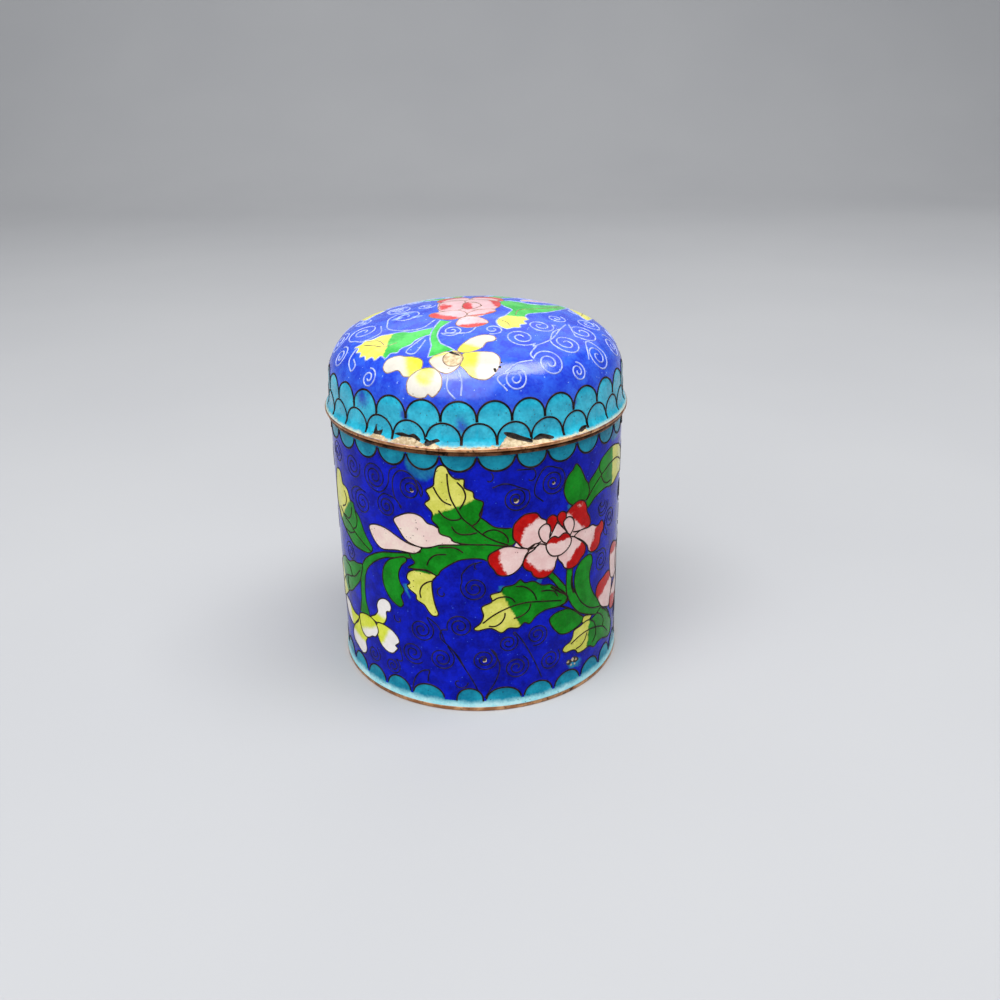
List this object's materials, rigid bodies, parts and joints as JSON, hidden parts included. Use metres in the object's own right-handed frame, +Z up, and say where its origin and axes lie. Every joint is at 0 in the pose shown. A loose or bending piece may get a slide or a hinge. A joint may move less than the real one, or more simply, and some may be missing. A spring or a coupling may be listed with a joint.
{
  "type": "round lidded box",
  "caption": "Round enamelled copper box with nearly straight walls, bare copper rims and a domed lift-off lid, hollow inside.",
  "frame": {"origin": "on the ground, under the middle of the foot rim", "axes": "+Z up along the axis of the body and lid, -Y towards the front, which shows the large peony, +X to the viewer's right"},
  "size_m": [0.0826, 0.0826, 0.1012],
  "materials": {
    "cobalt_enamel": "glossy fused enamel between thin copper wires, with slight pits",
    "cobalt_lid_enamel": "glossy fused enamel between thin copper wires, with slight pits and chips",
    "bare_copper": "bare copper, worn smooth and slightly tarnished"
  },
  "bodies": {
    "root": {"body": "cobalt_enamel", "foot_rim": "bare_copper", "mouth_rim": "bare_copper", "lid": "cobalt_lid_enamel", "lid_rim": "bare_copper"}
  },
  "joints": []
}
